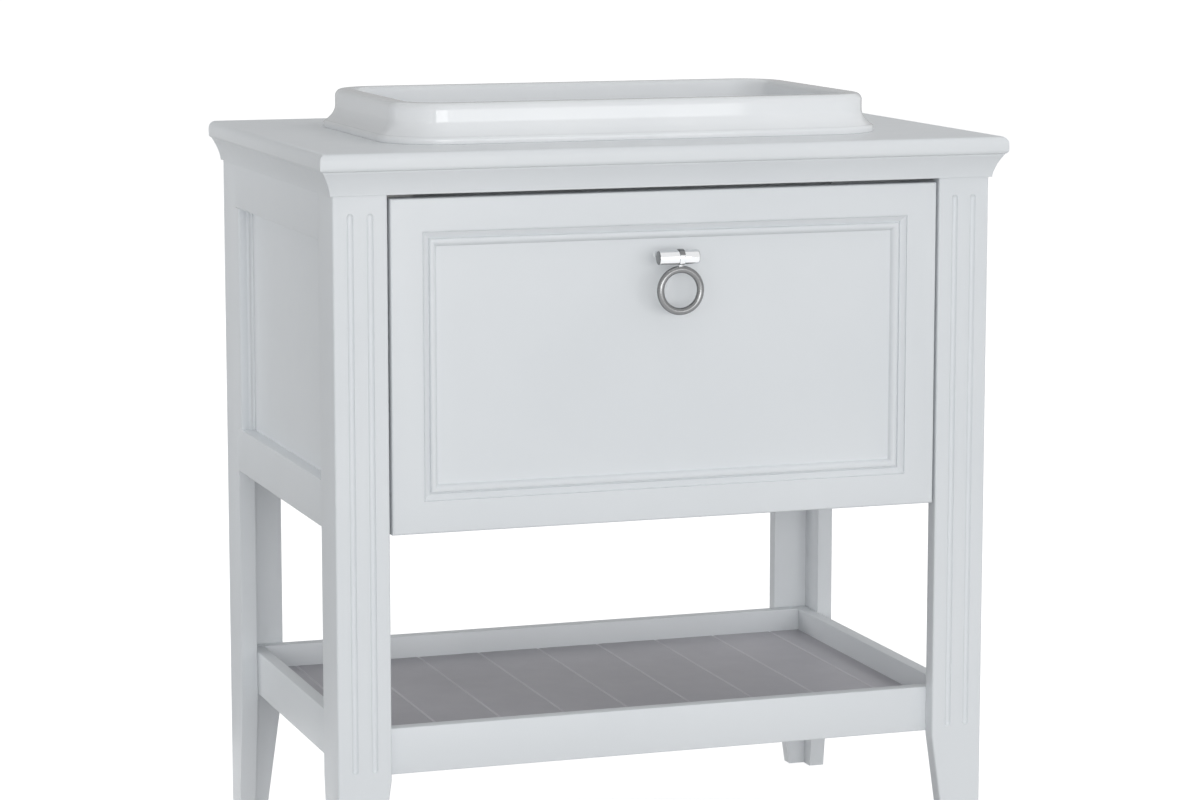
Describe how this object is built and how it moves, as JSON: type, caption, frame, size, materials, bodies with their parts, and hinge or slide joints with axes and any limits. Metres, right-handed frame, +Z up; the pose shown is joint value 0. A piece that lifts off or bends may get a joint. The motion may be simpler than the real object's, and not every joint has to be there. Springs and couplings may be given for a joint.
{
  "type": "vanity unit",
  "caption": "Free-standing bathroom vanity: framed cabinet on fluted tapered legs with a ring-pull drawer, open tray shelf, moulded counter and ceramic basin.",
  "frame": {"origin": "on the floor, in the middle of the unit's overall box", "axes": "+X to the right seen from the front, +Y towards the wall, +Z up"},
  "size_m": [0.8, 0.5472, 0.886],
  "materials": {
    "white_lacquer": "satin white lacquer on moisture-proof board",
    "counter_lacquer": "satin white lacquer",
    "carcass_board": "matt white foil on board",
    "glazed_ceramic": "glossy white glaze on ceramic",
    "chrome": "polished chrome plate",
    "zinc_steel": "bright zinc plate",
    "black_rubber": "moulded rubber",
    "white_plastic": "moulded white plastic"
  },
  "bodies": {
    "cabinet": {"leg_front_left_face": "white_lacquer", "leg_front_left_side": "white_lacquer", "leg_front_right_face": "white_lacquer", "leg_front_right_side": "white_lacquer", "leg_rear_left_face": "white_lacquer", "leg_rear_left_side": "white_lacquer", "leg_rear_right_face": "white_lacquer", "leg_rear_right_side": "white_lacquer", "side_left_top_rail": "white_lacquer", "side_left_bottom_rail": "white_lacquer", "side_left_panel": "white_lacquer", "side_right_top_rail": "white_lacquer", "side_right_bottom_rail": "white_lacquer", "side_right_panel": "white_lacquer", "front_top_rail": "white_lacquer", "back_top_rail": "white_lacquer", "back_bottom_rail": "white_lacquer", "cornice_front": "white_lacquer", "cornice_left": "white_lacquer", "cornice_right": "white_lacquer", "counter_top": "counter_lacquer", "basin": "glazed_ceramic", "waste_body": "chrome", "waste_seal": "black_rubber", "waste_nut": "white_plastic", "shelf_front_rail": "white_lacquer", "shelf_rear_rail": "white_lacquer", "shelf_left_rail": "white_lacquer", "shelf_right_rail": "white_lacquer", "shelf_panel": "white_lacquer", "shelf_cleats": "white_lacquer", "runner_bearer_left": "carcass_board", "runner_bearer_right": "carcass_board", "runner_left_cabinet": "zinc_steel", "runner_right_cabinet": "zinc_steel"},
    "runner_middles": {"runner_left_middle": "zinc_steel", "runner_right_middle": "zinc_steel"},
    "drawer": {"drawer_front_left_stile": "white_lacquer", "drawer_front_right_stile": "white_lacquer", "drawer_front_top_rail": "white_lacquer", "drawer_front_bottom_rail": "white_lacquer", "drawer_front_panel": "white_lacquer", "drawer_moulding_left": "white_lacquer", "drawer_moulding_right": "white_lacquer", "drawer_moulding_top": "white_lacquer", "drawer_moulding_bottom": "white_lacquer", "drawer_left_side": "carcass_board", "drawer_right_side": "carcass_board", "drawer_back_left": "carcass_board", "drawer_back_right": "carcass_board", "drawer_bottom": "carcass_board", "drawer_recess_liner": "white_plastic", "runner_left_drawer": "zinc_steel", "runner_right_drawer": "zinc_steel", "handle_bar": "chrome", "handle_screws": "zinc_steel"},
    "ring": {"ring_pull": "chrome"},
    "plug": {"waste_plug": "chrome"}
  },
  "joints": [
    {"name": "drawer_slide", "type": "slide", "parent": "cabinet", "child": "drawer", "axis": [0, -1, 0], "range_m": [0, 0.38]},
    {"name": "runner_slide", "type": "slide", "parent": "cabinet", "child": "runner_middles", "axis": [0, -1, 0], "range_m": [0, 0.19]},
    {"name": "ring_swing", "type": "hinge", "parent": "drawer", "child": "ring", "pos_m": [0, -0.26435, 0.7198], "axis": [-1, 0, 0], "range_deg": [-25, 170]},
    {"name": "plug_press", "type": "slide", "parent": "cabinet", "child": "plug", "axis": [0, 0, -1], "range_m": [0, 0.008], "stiffness_N_per_m": 400, "springref_m": -0.006}
  ],
  "couplings": [
    {"joint": "runner_slide", "follows": "drawer_slide", "ratio": 0.5}
  ]
}
